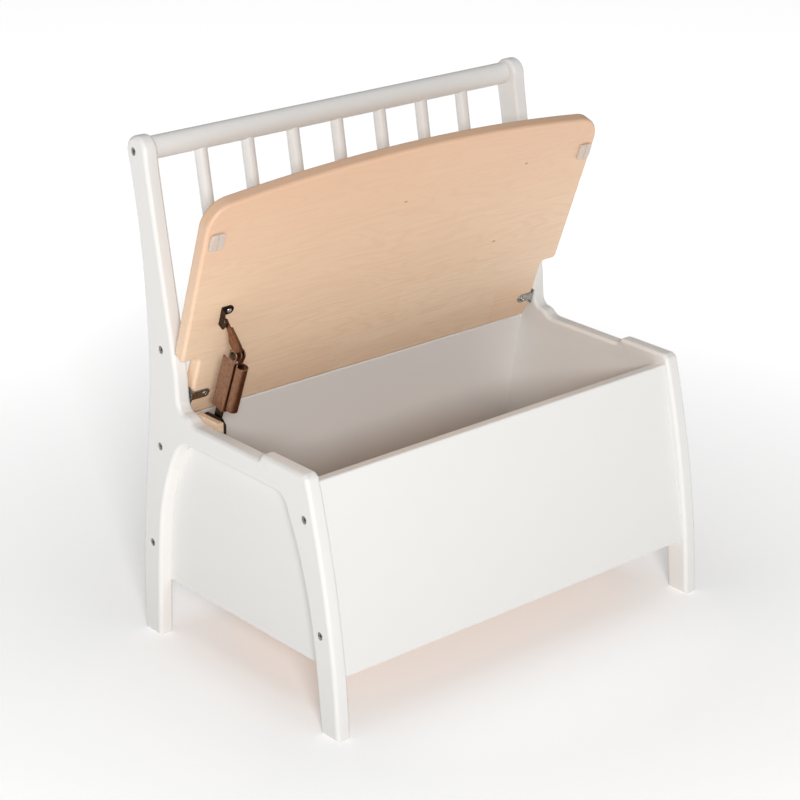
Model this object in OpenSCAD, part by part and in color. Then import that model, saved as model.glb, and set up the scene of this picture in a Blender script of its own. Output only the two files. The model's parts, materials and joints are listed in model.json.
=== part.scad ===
// Storage bench: two side frames carry a tilted-panel chest, a spindle back and a lid on pivots.
// X runs across the bench, the front is at -Y, Z is up and the floor is Z = 0. All sizes in mm.

/* [Side frames] */
// Half of the width over the side frames
frame_half_w = 300; // [280:1:380]
// Thickness of the side frames
frame_t = 20; // [18:1:24]
// Height of the rail's lowered top edge, where fingers reach under the lid
rail_z = 304; // [302:1:305]
// Height of the arm's raised ends
nose_z = 312; // [311:0.5:312.5]
// Height of the arch's flat top
arch_z = 276; // [272:1:278]
// Y of the joint between a rear post and its arm rail
rear_joint_y = 70; // [64:1:72]
// Y of the joint between an arm rail and its front leg
front_joint_y = -80; // [-84:1:-76]
// Height of the centre of the post's round top
post_top_z = 614; // [612:1:620]
// Radius of the post's round top
post_top_r = 18.5; // [18:0.25:19]

/* [Chest] */
// Thickness of the front and back panels
panel_t = 18; // [16:0.5:20]
// Height of the chest's lower edge
chest_bottom_z = 74; // [70:1:80]
// Height of the front panel's outer top edge
front_panel_top_z = 300; // [296:1:303]
// Height of the back panel's inner top edge
back_panel_top_z = 295; // [290:1:297]
// How far the front panel leans per millimetre of height
front_slope = 0.21; // [0.2:0.005:0.215]
// How far the back panel leans per millimetre of height
back_slope = 0.17; // [0.165:0.005:0.175]
// Thickness of the thin side sheets
side_sheet_t = 3; // [2.5:0.5:4]
// Thickness of the chest's bottom
bottom_t = 8; // [6:0.5:10]
// Height of the underside of the chest's bottom
bottom_z = 88; // [84:1:95]

/* [Back] */
// Radius of the round rails
rail_r = 13.75; // [12:0.25:15]
// Radius of the rungs
rung_r = 8; // [6:0.5:9]
// Number of rungs
rung_count = 7; // [5:1:7]
// Distance between rungs
rung_pitch = 68.7; // [60:0.1:75]

/* [Lid] */
// Half of the lid's width at its notches
lid_half_w = 302.5; // [302:0.5:304]
// Half of the lid's width at its free end
lid_front_half_w = 306; // [304:1:308]
// Thickness of the lid
lid_t = 18; // [16:1:20]
// How far the lid is open as drawn
lid_open = 71; // [71:1:71]
// Distance from the pivot to the middle of the lid's front edge
lid_reach = 292; // [284:1:294]
// Distance from the pivot to the notches beside the posts
notch_u = 58; // [56:1:64]
// Overhang of the lid behind the pivot
lid_tail = 26; // [22:1:28]
// Half width of the lid's narrow part between the posts
tail_half_w = 277; // [277:1:277]

/* [Hidden] */
$fn = 64;

inner_x = frame_half_w - frame_t;
eps = 0.05; // clearance round a fixed fastener
run = 0.05; // radial clearance of a turning pin

lacquer = "#e9e7e4";
beech = "#dfc09c";
zinc = "#b9bcbc";
copper = "#7a4a38";
dark_steel = "#3b3330";

// ---- curves ----

// Point at t along the smooth curve's stretch from b to c
function blend(a, b, c, d, t) =
  0.5 * (2 * b + (c - a) * t + (2 * a - 5 * b + 4 * c - d) * t * t + (3 * b - a - 3 * c + d) * t * t * t);

// A smooth curve through the points p, with n steps from each point to the next
function curve(p, n = 5) = [
  for (i = [0:len(p) - 2])
    for (k = [0:n - 1])
      blend(p[max(i - 1, 0)], p[i], p[i + 1], p[min(i + 2, len(p) - 1)], k / n),
  p[len(p) - 1]
];

// Points along a circle's arc from angle a0 to a1
function around(a) = [cos(a), sin(a)];
function arc(c, r, a0, a1, n = 8) = [for (k = [0:n]) c + r * around(a0 + (a1 - a0) * k / n)];

// Extrudes an outline given in Y and Z along X, from x0 to x1
module across(x0, x1) {
  translate([x0, 0, 0]) rotate([90, 0, 90]) linear_extrude(height = x1 - x0) children();
}

// A round bar along X
module bar(x0, x1, p, r) {
  translate([x0, p[0], p[1]]) rotate([0, 90, 0]) cylinder(r = r, h = x1 - x0);
}

module left_and_right() {
  children();
  mirror([1, 0, 0]) children();
}

// Draws a right-hand part on the chosen side: 1 is right, -1 is left
module on_side(side) {
  mirror([side < 0 ? 1 : 0, 0, 0]) children();
}

// ---- chest planes: Y of each panel's faces at the height z ----

front_top_y = -132.3;
back_top_y = 126.2;
front_panel_y_t = panel_t * sqrt(1 + front_slope * front_slope);
function front_outer_y(z) = front_top_y - (front_panel_top_z - z) * front_slope;
function front_inner_y(z) = front_outer_y(z) + front_panel_y_t;
function back_inner_y(z) = back_top_y + (back_panel_top_z - z) * back_slope;

// From a panel's one face square through to its other face, in Y and Z
through_front = panel_t * [1, -front_slope] / norm([1, front_slope]);
through_back = panel_t * [1, back_slope] / norm([1, back_slope]);

// ---- side frame outlines, as [Y, Z] ----

post_top = [171, post_top_z];
post_lean = 10.5; // degrees from upright at the post's top

arch_rear = curve([[rear_joint_y, arch_z], [84, 275.5], [98, 270], [109, 259], [121, 236], [132, 207],
  [140.5, 175], [145.5, 141], [149, 98], [151.5, 50], [153.5, 0]]);
post_rear = curve([[186, 0], [186.3, 70], [181, 150], [173.5, 218], [166.5, 282], [161.3, 335], [160.8, 385],
  [164, 450], [171.5, 520], [179.8, 568],
  post_top + post_top_r * around(-post_lean)]);
post_front = curve([post_top - post_top_r * around(-post_lean), [150, 597],
  [139.7, 540], [126, 468], [113.5, 402], [106.6, 362], [104.3, 336], [102.5, 322], [97, 314.5], [90, 312.8],
  [84, 310.5], [78, 306], [rear_joint_y, rail_z]]);
leg_inner = curve([[front_joint_y, arch_z], [-88, 273.5], [-95.5, 266.5], [-101, 254], [-108.5, 238],
  [-116.5, 218],
  [-126, 190], [-135.3, 156], [-143.5, 114], [-151, 60], [-157.5, 0]]);
leg_front = curve([[-189.5, 0], [-187.2, 33], [-182, 86], [-172.3, 151], [-159.8, 214], [-145, 275],
  [-137.3, 302],
  [-134.5, 308.5], [-129, nose_z]]);

module rear_post_outline() {
  polygon(concat(arch_rear, post_rear,
    arc(post_top, post_top_r, -post_lean, 180 - post_lean, 16), post_front));
}

module front_leg_outline() {
  polygon(concat(leg_front, [[front_joint_y, nose_z]], leg_inner));
}

module arm_rail_outline() {
  polygon(concat([[front_joint_y, arch_z], [rear_joint_y, arch_z], [rear_joint_y, rail_z]],
    curve([[-44, rail_z], [-49, rail_z + 1], [-54, nose_z - 1], [-60, nose_z]], 4),
    [[front_joint_y, nose_z]]));
}

// ---- fasteners of the frame ----

bolt_r = 3;
bolt_head_r = 4.75;
bolt_head_t = 5;
bolt_sink = 1; // the head lies this far below the frame's face
bolt_l = 56; // shank and head
nut_r = 5;
nut_l = 14;
nut_depth = 34; // from a panel's end to its barrel nut's axis
rung_top = [175.5, 613.5]; // centre of the top rail
rung_foot = [134, 383]; // centre of the lower back rail
back_bolts = [[141.5, 258], [164, 124]];
front_bolts = [[-130.5, 258], [-157.5, 124]];
rail_bolts = [rung_top, rung_foot];
all_bolts = concat(rail_bolts, back_bolts, front_bolts);

// Bolts of the right-hand frame, which grow by c on their radius
module side_bolts(c = 0) {
  for (p = all_bolts) {
    bar(frame_half_w - bolt_sink - bolt_l, frame_half_w - bolt_sink, p, bolt_r + c);
    bar(frame_half_w - bolt_sink - bolt_head_t, frame_half_w - (c > 0 ? -1 : bolt_sink), p, bolt_head_r + c);
  }
}

// Barrel nuts of the right-hand side: their holes open at the back, or inside the front panel
module side_nuts(c = 0) {
  x = inner_x - nut_depth;
  for (p = concat(rail_bolts, back_bolts))
    translate([x, p[0] - nut_l / 2 + 2 - c, p[1]]) rotate([-90, 0, 0])
      cylinder(r = nut_r + c, h = c > 0 ? 60 : nut_l);
  for (p = front_bolts)
    translate([x, p[0] - 7 - c, p[1]]) rotate([-90, 0, 0])
      cylinder(r = nut_r + c, h = c > 0 ? 60 : nut_l - 1);
}

// The nuts' threaded holes and the end of each bolt leave a thin gap
module all_bolt_holes() left_and_right() side_bolts(eps);
module all_nut_holes() left_and_right() side_nuts(eps);

dowel_r = 3;
dowel_l = 36;
rail_dowel_z = [283, 297];

// Dowels between rail, post and leg on the right-hand side
module side_dowels(c = 0) {
  for (y = [front_joint_y, rear_joint_y], z = rail_dowel_z)
    translate([frame_half_w - frame_t / 2, y - dowel_l / 2 - c, z]) rotate([-90, 0, 0])
      cylinder(r = dowel_r + c, h = dowel_l + 2 * c);
}

// ---- thin side sheets, let into the frames' inner faces ----

sheet_top_z = 284;
module sheet_outline() {
  polygon([
    [front_inner_y(chest_bottom_z), chest_bottom_z],
    [back_inner_y(chest_bottom_z), chest_bottom_z],
    [back_inner_y(sheet_top_z), sheet_top_z],
    [front_inner_y(sheet_top_z), sheet_top_z]
  ]);
}

// The rebate runs on past the sheet's lower edge, so that the cut stays open there
module sheet_rebate() {
  across(inner_x - 1, inner_x + side_sheet_t + eps) sheet_outline();
}

pin_r = 0.9;
pin_l = 12;
pin_inset = 5.5;
function pin_line(a, b, n) = [for (k = [0:n - 1]) a + (b - a) * k / (n - 1)];
rear_pins = pin_line([back_inner_y(275) - pin_inset, 275], [back_inner_y(108) - pin_inset, 108], 3);
front_pins = pin_line([front_inner_y(262) + pin_inset, 262], [front_inner_y(108) + pin_inset, 108], 3);
top_pins = pin_line([45, 279.5], [-50, 279.5], 3);
module side_pins(c = 0) {
  for (p = concat(rear_pins, front_pins, top_pins)) bar(inner_x - c, inner_x + pin_l + c, p, pin_r + c);
}

// ---- lid pivot and lid stay, seen from the side as [Y, Z] ----

pivot = [119, 328];
bush_r = 5.5;
bush_l = 11;
hinge_pin_r = 3.5;
bracket_t = 2;
lid_under = -12; // the lid's underside, measured up from the pivot
screw_r = 1.75;
screw_head_r = 3.4;

// Places what is drawn for a closed lid, with the pivot at the origin and the front at -Y
module on_lid() {
  translate([0, pivot[0], pivot[1]]) rotate([-lid_open, 0, 0]) children();
}

stay_foot_p = [70, 298];
stay_knee_p = [34, 397];
stay_lid_p = [64, 427.7];
function angle_to(a, b) = atan2(b[1] - a[1], b[0] - a[0]);
function reach(a, b) = norm(b - a);
stay_len = reach(stay_foot_p, stay_knee_p);
arm_len = reach(stay_knee_p, stay_lid_p);
stay_x = -263; // middle of the stay's housing
housing_x0 = -269.5;
housing_x1 = -256.5;
wall = 1.5;
foot_x0 = -272;
foot_x1 = -270;
block_t = inner_x + foot_x0;
foot_rivet_r = 3;
knee_rivet_r = 2.5;
lid_rivet_r = 2.2;

// Draws in the housing's own plane: +X of the sketch from foot to knee, +Y of it towards the front
module in_housing(x0, x1) {
  translate([x0, stay_foot_p[0], stay_foot_p[1]]) rotate([angle_to(stay_foot_p, stay_knee_p), 0, 0])
    rotate([90, 0, 90]) linear_extrude(height = x1 - x0) children();
}

// The arm leans sideways, because its lid end stands nearer the middle of the bench
arm_sideways = 6;
module at_knee() {
  translate([stay_x + 1, stay_knee_p[0], stay_knee_p[1]])
    rotate([angle_to(stay_knee_p, stay_lid_p), 0, 0]) rotate([0, 0, -asin(arm_sideways / arm_len)]) children();
}

// Screws that hold the stay's foot, through block and frame
module foot_screws(c = 0) {
  for (p = [[60, 290], [84, 290]]) {
    bar(-inner_x - 12 - c, foot_x1 - 0.2, p, screw_r + c);
    bar(foot_x1 - 0.5, foot_x1 + 1.2, p, screw_head_r);
  }
}

// ---- frame parts ----

module frame_part(side) {
  difference() {
    on_side(side) difference() {
      across(inner_x, frame_half_w) children();
      side_bolts(eps);
      side_dowels(eps);
      sheet_rebate();
      side_pins(eps);
    }
    if (side < 0) foot_screws(eps);
  }
}

module rear_post(side) color(lacquer) difference() {
  frame_part(side) rear_post_outline();
  on_side(side) bar(inner_x - 1, inner_x + bush_l, pivot, bush_r);
}
module front_leg(side) color(lacquer) frame_part(side) front_leg_outline();
module arm_rail(side) color(lacquer) frame_part(side) arm_rail_outline();

module left_rear_post() rear_post(-1);
module right_rear_post() rear_post(1);
module left_front_leg() front_leg(-1);
module right_front_leg() front_leg(1);
module left_arm_rail() arm_rail(-1);
module right_arm_rail() arm_rail(1);

module frame_dowels() color(beech) left_and_right() side_dowels();

module side_panel(side) color(lacquer) on_side(side) difference() {
  across(inner_x, inner_x + side_sheet_t) sheet_outline();
  side_pins(eps);
}
module left_side_panel() side_panel(-1);
module right_side_panel() side_panel(1);
module side_panel_pins() color(zinc) left_and_right() side_pins();

// ---- chest panels ----

groove_depth = 6;
module bottom_board(c = 0) {
  y0 = front_inner_y(bottom_z) - groove_depth - c;
  y1 = back_inner_y(bottom_z + bottom_t) + groove_depth + c;
  translate([-inner_x, y0, bottom_z - c]) cube([2 * inner_x, y1 - y0, bottom_t + 2 * c]);
}

module front_panel() color(lacquer) difference() {
  low = [front_outer_y(chest_bottom_z), chest_bottom_z];
  high = [front_outer_y(front_panel_top_z), front_panel_top_z];
  across(-inner_x, inner_x) polygon([low, low + through_front, high + through_front, high]);
  bottom_board(eps);
  all_bolt_holes();
  all_nut_holes();
}

module back_panel() color(lacquer) difference() {
  low = [back_inner_y(chest_bottom_z), chest_bottom_z];
  high = [back_inner_y(back_panel_top_z), back_panel_top_z];
  across(-inner_x, inner_x) polygon([low, low + through_back, high + through_back, high]);
  bottom_board(eps);
  all_bolt_holes();
  all_nut_holes();
}

module bottom_panel() color(lacquer) bottom_board();

module frame_bolts() color(dark_steel) difference() {
  left_and_right() side_bolts();
  left_and_right() for (p = all_bolts)
    translate([frame_half_w - bolt_sink - 3, p[0], p[1]]) rotate([0, 90, 0])
      cylinder(r = 2.3, h = 4, $fn = 6);
}

module barrel_nuts() color(zinc) difference() {
  left_and_right() side_nuts();
  all_bolt_holes();
}

// ---- spindle back ----

rung_tilt = atan2(rung_top[0] - rung_foot[0], rung_top[1] - rung_foot[1]);
rung_l = norm(rung_top - rung_foot);
rung_bite = 3; // a rung's ends stop this far from the rails' centres

module rung(i, c = 0) {
  x = (i - (rung_count + 1) / 2) * rung_pitch;
  translate([x, rung_foot[0], rung_foot[1]]) rotate([-rung_tilt, 0, 0])
    translate([0, 0, rung_bite]) cylinder(r = rung_r + c, h = rung_l - 2 * rung_bite);
}

module back_rail(centre) color(lacquer) difference() {
  bar(-inner_x, inner_x, centre, rail_r);
  for (i = [1:rung_count]) rung(i, 0.02);
  all_bolt_holes();
  all_nut_holes();
}
module top_rail() back_rail(rung_top);
module lower_back_rail() back_rail(rung_foot);

// ---- lid ----

corner_r = 34;
bow_r = 2300;
notch_r = 6;
tail_r = 13;
bow_c = [0, lid_reach - bow_r];
corner_x = lid_front_half_w - corner_r;
corner_c = [corner_x, bow_c[1] + sqrt(pow(bow_r - corner_r, 2) - pow(corner_x, 2))];
corner_a = atan2(corner_c[1] - bow_c[1], corner_c[0]);

// The right half of the lid's outline, from the middle of its back to the middle of its front
half_lid = concat(
  [[0, -lid_tail]],
  arc([tail_half_w - tail_r, tail_r - lid_tail], tail_r, -90, 0),
  arc([tail_half_w + notch_r, notch_u - notch_r], notch_r, 180, 90),
  arc([lid_half_w - notch_r, notch_u + notch_r], notch_r, -90, 0),
  arc(corner_c, corner_r, 0, corner_a, 14),
  arc(bow_c, bow_r, corner_a, 90, 12)
);

bumper_p = [290, 227];
bumper_t = 3.7;
hinge_screw_p = [[259, 4]];
stay_screw_p = [-249.5, 122];

// Screws up into the lid from below, at p = [x, distance from the pivot], through a plate of thickness t
module up_screw(p, t, c = 0) {
  translate([p[0], -p[1], lid_under - t + 0.3]) cylinder(r = screw_r + c, h = t + 11 + c);
  translate([p[0], -p[1], lid_under - t - 1]) cylinder(r = screw_head_r, h = 1.3);
}

// Screws into the lid's end, through the bracket's tab
module end_screw(c = 0) {
  translate([tail_half_w - 14 - c, -9, -4]) rotate([0, 90, 0])
    cylinder(r = 1.5 + c, h = 14 + bracket_t - 0.2 + c);
}

module hinge_screws() color(zinc) on_lid() left_and_right() {
  for (p = hinge_screw_p) up_screw(p, bracket_t);
  end_screw();
}

module lid_board() color(beech) on_lid() difference() {
  rotate([180, 0, 0]) translate([0, 0, -lid_under - lid_t]) linear_extrude(height = lid_t)
    polygon(concat(half_lid, [for (k = [len(half_lid) - 1:-1:0]) [-half_lid[k][0], half_lid[k][1]]]));
  left_and_right() {
    for (p = hinge_screw_p) up_screw(p, bracket_t, eps);
    end_screw(eps);
  }
  up_screw(stay_screw_p, bracket_t, eps);
}

module bumper(side) color("#d9d6d2") on_lid()
  translate([side * bumper_p[0], -bumper_p[1], lid_under - bumper_t]) {
    difference() {
      linear_extrude(height = bumper_t) union() {
        square([20, 12], center = true);
        square([10, 22], center = true);
        for (x = [-5, 5], y = [-6, 6]) translate([x, y]) circle(r = 5);
      }
      translate([-0.75, -12, -1]) cube([1.5, 24, 2]);
    }
  }
module left_bumper() bumper(-1);
module right_bumper() bumper(1);

// An angle: a plate under the lid and a tab up its end, which carries the pivot
module hinge_bracket(side) color(zinc) on_lid() on_side(side) difference() {
  union() {
    translate([tail_half_w - 19, -10, lid_under - bracket_t]) cube([19 + bracket_t, 12, bracket_t]);
    translate([tail_half_w - 19, -4, lid_under - bracket_t]) cylinder(r = 6, h = bracket_t);
    translate([tail_half_w, -13, lid_under - bracket_t]) cube([bracket_t, 20, 14]);
    bar(tail_half_w, tail_half_w + bracket_t, [0, 0], 7);
  }
  for (p = hinge_screw_p) up_screw(p, bracket_t, eps);
  end_screw(eps);
  bar(tail_half_w - 1, tail_half_w + bracket_t + 1, [0, 0], 2.5);
}
module left_hinge_bracket() hinge_bracket(-1);
module right_hinge_bracket() hinge_bracket(1);

module hinge_pin(side) color(zinc) on_lid() on_side(side) {
  bar(tail_half_w, tail_half_w + bracket_t, [0, 0], 2.5);
  bar(tail_half_w + bracket_t, inner_x + bush_l - 1, [0, 0], hinge_pin_r);
}
module left_hinge_pin() hinge_pin(-1);
module right_hinge_pin() hinge_pin(1);

module hinge_bush(side) color("#f2f2ee") on_side(side) difference() {
  bar(inner_x, inner_x + bush_l, pivot, bush_r);
  bar(inner_x - 1, inner_x + bush_l + 1, pivot, hinge_pin_r + run);
}
module left_hinge_bush() hinge_bush(-1);
module right_hinge_bush() hinge_bush(1);

// ---- lid stay ----

block_low = [52, 274];
block_size = [47, 36];
module stay_block() color("#e3ab6b") difference() {
  translate([-inner_x, block_low[0], block_low[1]]) cube([block_t, block_size[0], block_size[1]]);
  foot_screws(eps);
}

module stay_foot() color(dark_steel) difference() {
  across(foot_x0, foot_x1) polygon([[49, 283], [91, 283], [91, 307], [85, 313], [55, 313], [49, 307]]);
  bar(foot_x0 - 1, foot_x1 + 1, stay_foot_p, foot_rivet_r);
  foot_screws(eps);
}

module stay_foot_screws() color(zinc) foot_screws();

module stay_foot_rivet() color(dark_steel) {
  bar(foot_x0, stay_x - 1, stay_foot_p, foot_rivet_r);
  bar(foot_x1, housing_x0 + wall - 0.1, stay_foot_p, 6);
  bar(stay_x - 2.4, stay_x - 1, stay_foot_p, 5.5);
}

tongue_x0 = housing_x0 + wall;
tongue_x1 = tongue_x0 + 2.5;
module stay_tongue() color(dark_steel) difference() {
  in_housing(tongue_x0, tongue_x1) union() {
    circle(r = 9);
    translate([0, -9]) square([60, 12.4]);
  }
  bar(tongue_x0 - 1, tongue_x1 + 1, stay_foot_p, foot_rivet_r + run);
}

channel_a = [25, 96]; // along the housing, from the foot's pivot
front_wall = 3.5; // towards the front, from the line between the pivots
rear_edge = -16;
tube_c = 12.5;
tube_r = 7;
tube_bore = 5.8;
tube_a = [33, 97];

module housing_tube(r, a0, a1) {
  translate([stay_x, stay_foot_p[0], stay_foot_p[1]]) rotate([angle_to(stay_foot_p, stay_knee_p), 0, 0])
    translate([0, a0, tube_c]) rotate([-90, 0, 0]) cylinder(r = r, h = a1 - a0);
}

module stay_housing() color(copper) difference() {
  union() {
    // the wide side wall, with an ear round the knee
    in_housing(housing_x0, tongue_x0) union() {
      translate([channel_a[0], rear_edge])
        square([channel_a[1] - channel_a[0], front_wall + wall - rear_edge]);
      translate([channel_a[1] - 6, -7]) square([stay_len - channel_a[1] + 6, front_wall + wall + 7]);
      translate([stay_len, 0]) circle(r = 8);
    }
    // the front wall, which carries the spring tube
    in_housing(housing_x0, housing_x1) translate([channel_a[0], front_wall])
      square([channel_a[1] - channel_a[0], wall]);
    // the inner ear
    in_housing(housing_x1 - wall, housing_x1) union() {
      translate([channel_a[1] - 5, -2]) square([stay_len - channel_a[1] + 5, front_wall + 3]);
      translate([stay_len, 0]) circle(r = 7.5);
    }
    housing_tube(tube_r, tube_a[0], tube_a[1]);
    in_housing(stay_x - 2.5, stay_x + 2.5) translate([tube_a[0] + 1, front_wall + 0.5])
      square([tube_a[1] - tube_a[0] - 3, tube_c - tube_bore - front_wall - 0.9]);
  }
  housing_tube(tube_bore, tube_a[0] + 1.5, tube_a[1] + 1);
  bar(housing_x0 - 1, housing_x1 + 1, stay_knee_p, knee_rivet_r);
}

// A compression spring as one swept coil, with a round wire of six sides
wire_r = 0.7;
coil_r = 4.9;
coils = 9;
ring_n = 14; // rings in a turn
side_n = 6;
spring_a = [tube_a[0] + 3, tube_a[1] - 3];
function coil_point(i) = let (t = i / (coils * ring_n), a = 360 * i / ring_n)
  [coil_r * cos(a), coil_r * sin(a), spring_a[0] + t * (spring_a[1] - spring_a[0])];
function coil_ring(i) = let (a = 360 * i / ring_n, c = coil_point(i))
  [for (k = [0:side_n - 1]) let (b = 360 * k / side_n)
    c + wire_r * [cos(b) * cos(a), cos(b) * sin(a), sin(b)]];
module stay_spring() color(zinc)
  translate([stay_x, stay_foot_p[0], stay_foot_p[1]]) rotate([angle_to(stay_foot_p, stay_knee_p), 0, 0])
    translate([0, 0, tube_c]) rotate([-90, 0, 0]) {
      last = coils * ring_n;
      polyhedron(
        points = [for (i = [0:last]) each coil_ring(i)],
        faces = concat(
          [[for (k = [0:side_n - 1]) k]],
          [for (i = [0:last - 1], k = [0:side_n - 1]) let (n = (k + 1) % side_n)
            [i * side_n + k, (i + 1) * side_n + k, (i + 1) * side_n + n, i * side_n + n]],
          [[for (k = [side_n - 1:-1:0]) last * side_n + k]]
        )
      );
    }

module stay_knee_rivet() color(dark_steel) {
  bar(housing_x0, housing_x1, stay_knee_p, knee_rivet_r);
  bar(housing_x0 - 1.4, housing_x0, stay_knee_p, 4.5);
  bar(housing_x1, housing_x1 + 1.4, stay_knee_p, 4.5);
}

arm_t = 2;
arm_end_r = 3.6;
arm_knee_r = 7.8;
arm_flange_w = 4.4; // from the arm's outer face to the flange's edge
module arm_sketch() {
  circle(r = arm_knee_r);
  translate([arm_len, 0]) circle(r = arm_end_r);
  polygon([[0, -6], [9, -5.5], [14, -7.5], [20, -8.5], [26, -5], [31, -arm_end_r], [arm_len, -arm_end_r],
    [arm_len, arm_end_r], [28, 5], [15, 7.2], [3, 8], [0, arm_knee_r - 0.3]]);
}

module stay_arm() color(copper) difference() {
  at_knee() {
    rotate([90, 0, 90]) translate([0, 0, -arm_t / 2]) linear_extrude(height = arm_t) arm_sketch();
    // the folded flange along the arm's front edge
    rotate([90, 0, 90]) translate([0, 0, -arm_t / 2]) linear_extrude(height = arm_flange_w) intersection() {
      difference() {
        arm_sketch();
        translate([0, -1]) arm_sketch();
      }
      translate([1, 3]) square([arm_len - 4, 10]);
    }
  }
  bar(stay_x - 6, stay_x + 6, stay_knee_p, knee_rivet_r + run);
}

flange_x0 = -260.5;
flange_t = 1.5;
stay_lid_u = (pivot[0] - stay_lid_p[0]) * cos(lid_open) + (stay_lid_p[1] - pivot[1]) * sin(lid_open);
stay_lid_w = (stay_lid_p[0] - pivot[0]) * sin(lid_open) + (stay_lid_p[1] - pivot[1]) * cos(lid_open);
module stay_lid_bracket() color(dark_steel) on_lid() difference() {
  union() {
    translate([flange_x0, -128, lid_under - bracket_t])
      cube([stay_screw_p[0] - flange_x0, 10.5, bracket_t]);
    translate([stay_screw_p[0], -stay_screw_p[1], lid_under - bracket_t]) cylinder(r = 6.5, h = bracket_t);
    translate([flange_x0, -126, stay_lid_w]) cube([flange_t, 126 - stay_lid_u + 8, lid_under - stay_lid_w]);
    bar(flange_x0, flange_x0 + flange_t, [-stay_lid_u, stay_lid_w], 6);
  }
  up_screw(stay_screw_p, bracket_t, eps);
  bar(flange_x0 - 1, flange_x0 + 3, [-stay_lid_u, stay_lid_w], lid_rivet_r);
}

module stay_lid_screw() color(zinc) on_lid() up_screw(stay_screw_p, bracket_t);

module stay_lid_rivet() color(dark_steel) on_lid() {
  bar(flange_x0, flange_x0 + flange_t, [-stay_lid_u, stay_lid_w], lid_rivet_r);
  bar(flange_x0 - 1.2, flange_x0, [-stay_lid_u, stay_lid_w], 4);
}

left_rear_post();
right_rear_post();
left_front_leg();
right_front_leg();
left_arm_rail();
right_arm_rail();
frame_dowels();
left_side_panel();
right_side_panel();
side_panel_pins();
front_panel();
back_panel();
bottom_panel();
frame_bolts();
barrel_nuts();
top_rail();
lower_back_rail();
color(lacquer) rung(1);  // rung_1
color(lacquer) rung(2);  // rung_2
color(lacquer) rung(3);  // rung_3
color(lacquer) rung(4);  // rung_4
color(lacquer) rung(5);  // rung_5
color(lacquer) rung(6);  // rung_6
color(lacquer) rung(7);  // rung_7
left_hinge_bush();
right_hinge_bush();
stay_block();
stay_foot();
stay_foot_screws();
stay_foot_rivet();
lid_board();
left_bumper();
right_bumper();
left_hinge_bracket();
right_hinge_bracket();
left_hinge_pin();
right_hinge_pin();
hinge_screws();
stay_lid_bracket();
stay_lid_screw();
stay_lid_rivet();
stay_housing();
stay_tongue();
stay_spring();
stay_knee_rivet();
stay_arm();
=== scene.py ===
"""The looks of the storage bench: lacquered frames and panels, a beech lid, a copper-plated lid stay.

Shapes are worked out in millimetres in the row frame and scaled to metres as each mesh is made.
"""

import json
import math

import bmesh
import bpy
from mathutils import Matrix, Vector


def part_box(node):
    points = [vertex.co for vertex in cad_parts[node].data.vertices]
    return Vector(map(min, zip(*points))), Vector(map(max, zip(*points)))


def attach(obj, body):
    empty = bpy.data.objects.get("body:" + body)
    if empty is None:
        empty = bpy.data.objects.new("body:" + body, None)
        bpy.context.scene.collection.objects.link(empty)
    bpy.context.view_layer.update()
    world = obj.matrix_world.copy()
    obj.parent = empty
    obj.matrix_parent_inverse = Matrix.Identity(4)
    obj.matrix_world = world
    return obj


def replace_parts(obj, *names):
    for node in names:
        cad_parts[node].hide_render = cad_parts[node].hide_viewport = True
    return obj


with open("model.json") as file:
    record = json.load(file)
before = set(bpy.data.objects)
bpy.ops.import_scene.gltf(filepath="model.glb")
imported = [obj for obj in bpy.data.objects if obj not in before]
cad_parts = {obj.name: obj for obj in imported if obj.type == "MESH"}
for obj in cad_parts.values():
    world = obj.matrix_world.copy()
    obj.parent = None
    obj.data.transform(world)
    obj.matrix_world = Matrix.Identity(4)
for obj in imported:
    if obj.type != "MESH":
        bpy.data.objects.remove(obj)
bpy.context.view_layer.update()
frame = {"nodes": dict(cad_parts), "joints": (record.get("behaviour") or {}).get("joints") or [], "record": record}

MM = 0.001
SCALE = Matrix.Scale(MM, 4)
NO_TURN = Matrix.Identity(4)


# ---- places taken from the frame ----

def node_box(name):
    """The lowest and highest corners of a CAD node, in millimetres."""
    low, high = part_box(name)
    return low / MM, high / MM


joints = {j["name"]: j for j in frame["joints"]}
PIVOT = Vector(joints["lid_hinge"]["pos_m"]) / MM
FOOT = Vector(joints["stay_foot_pivot"]["pos_m"]) / MM
KNEE = Vector(joints["stay_knee_pivot"]["pos_m"]) / MM
LID_OPEN = math.radians(joints["lid_hinge"]["range_deg"][1])
INNER_X = -node_box("front_panel")[0].x
OUTER_X = node_box("right_rear_post")[1].x
ON_LID = Matrix.Translation(PIVOT) @ Matrix.Rotation(-LID_OPEN, 4, "X")

# ---- outlines ----


def blend(a, b, c, d, t):
    """The point at t along a smooth curve's stretch from b to c."""
    return 0.5 * (2 * b + (c - a) * t + (2 * a - 5 * b + 4 * c - d) * t ** 2
                  + (3 * b - a - 3 * c + d) * t ** 3)


def curve(points, steps=8):
    """A smooth curve through the points, with some steps from each to the next."""
    p = [Vector(q) for q in points]
    out = []
    for i in range(len(p) - 1):
        before = p[max(i - 1, 0)]
        after = p[min(i + 2, len(p) - 1)]
        out += [blend(before, p[i], p[i + 1], after, k / steps) for k in range(steps)]
    return out + [p[-1]]


def arc(centre, radius, start, end, steps=10):
    """Points along a circle's arc, with the angles in degrees."""
    angles = [math.radians(start + (end - start) * k / steps) for k in range(steps + 1)]
    return [Vector(centre) + radius * Vector((math.cos(a), math.sin(a))) for a in angles]


def signed_area(points):
    return 0.5 * sum(a.x * b.y - b.x * a.y for a, b in zip(points, points[1:] + points[:1]))


def tidy(points, gap=0.02):
    """The outline as vectors, anticlockwise, without doubled points."""
    p = [Vector(q) for q in points]
    p = [b for a, b in zip([p[-1]] + p[:-1], p) if (b - a).length > gap]
    return p if signed_area(p) > 0 else p[::-1]


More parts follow.
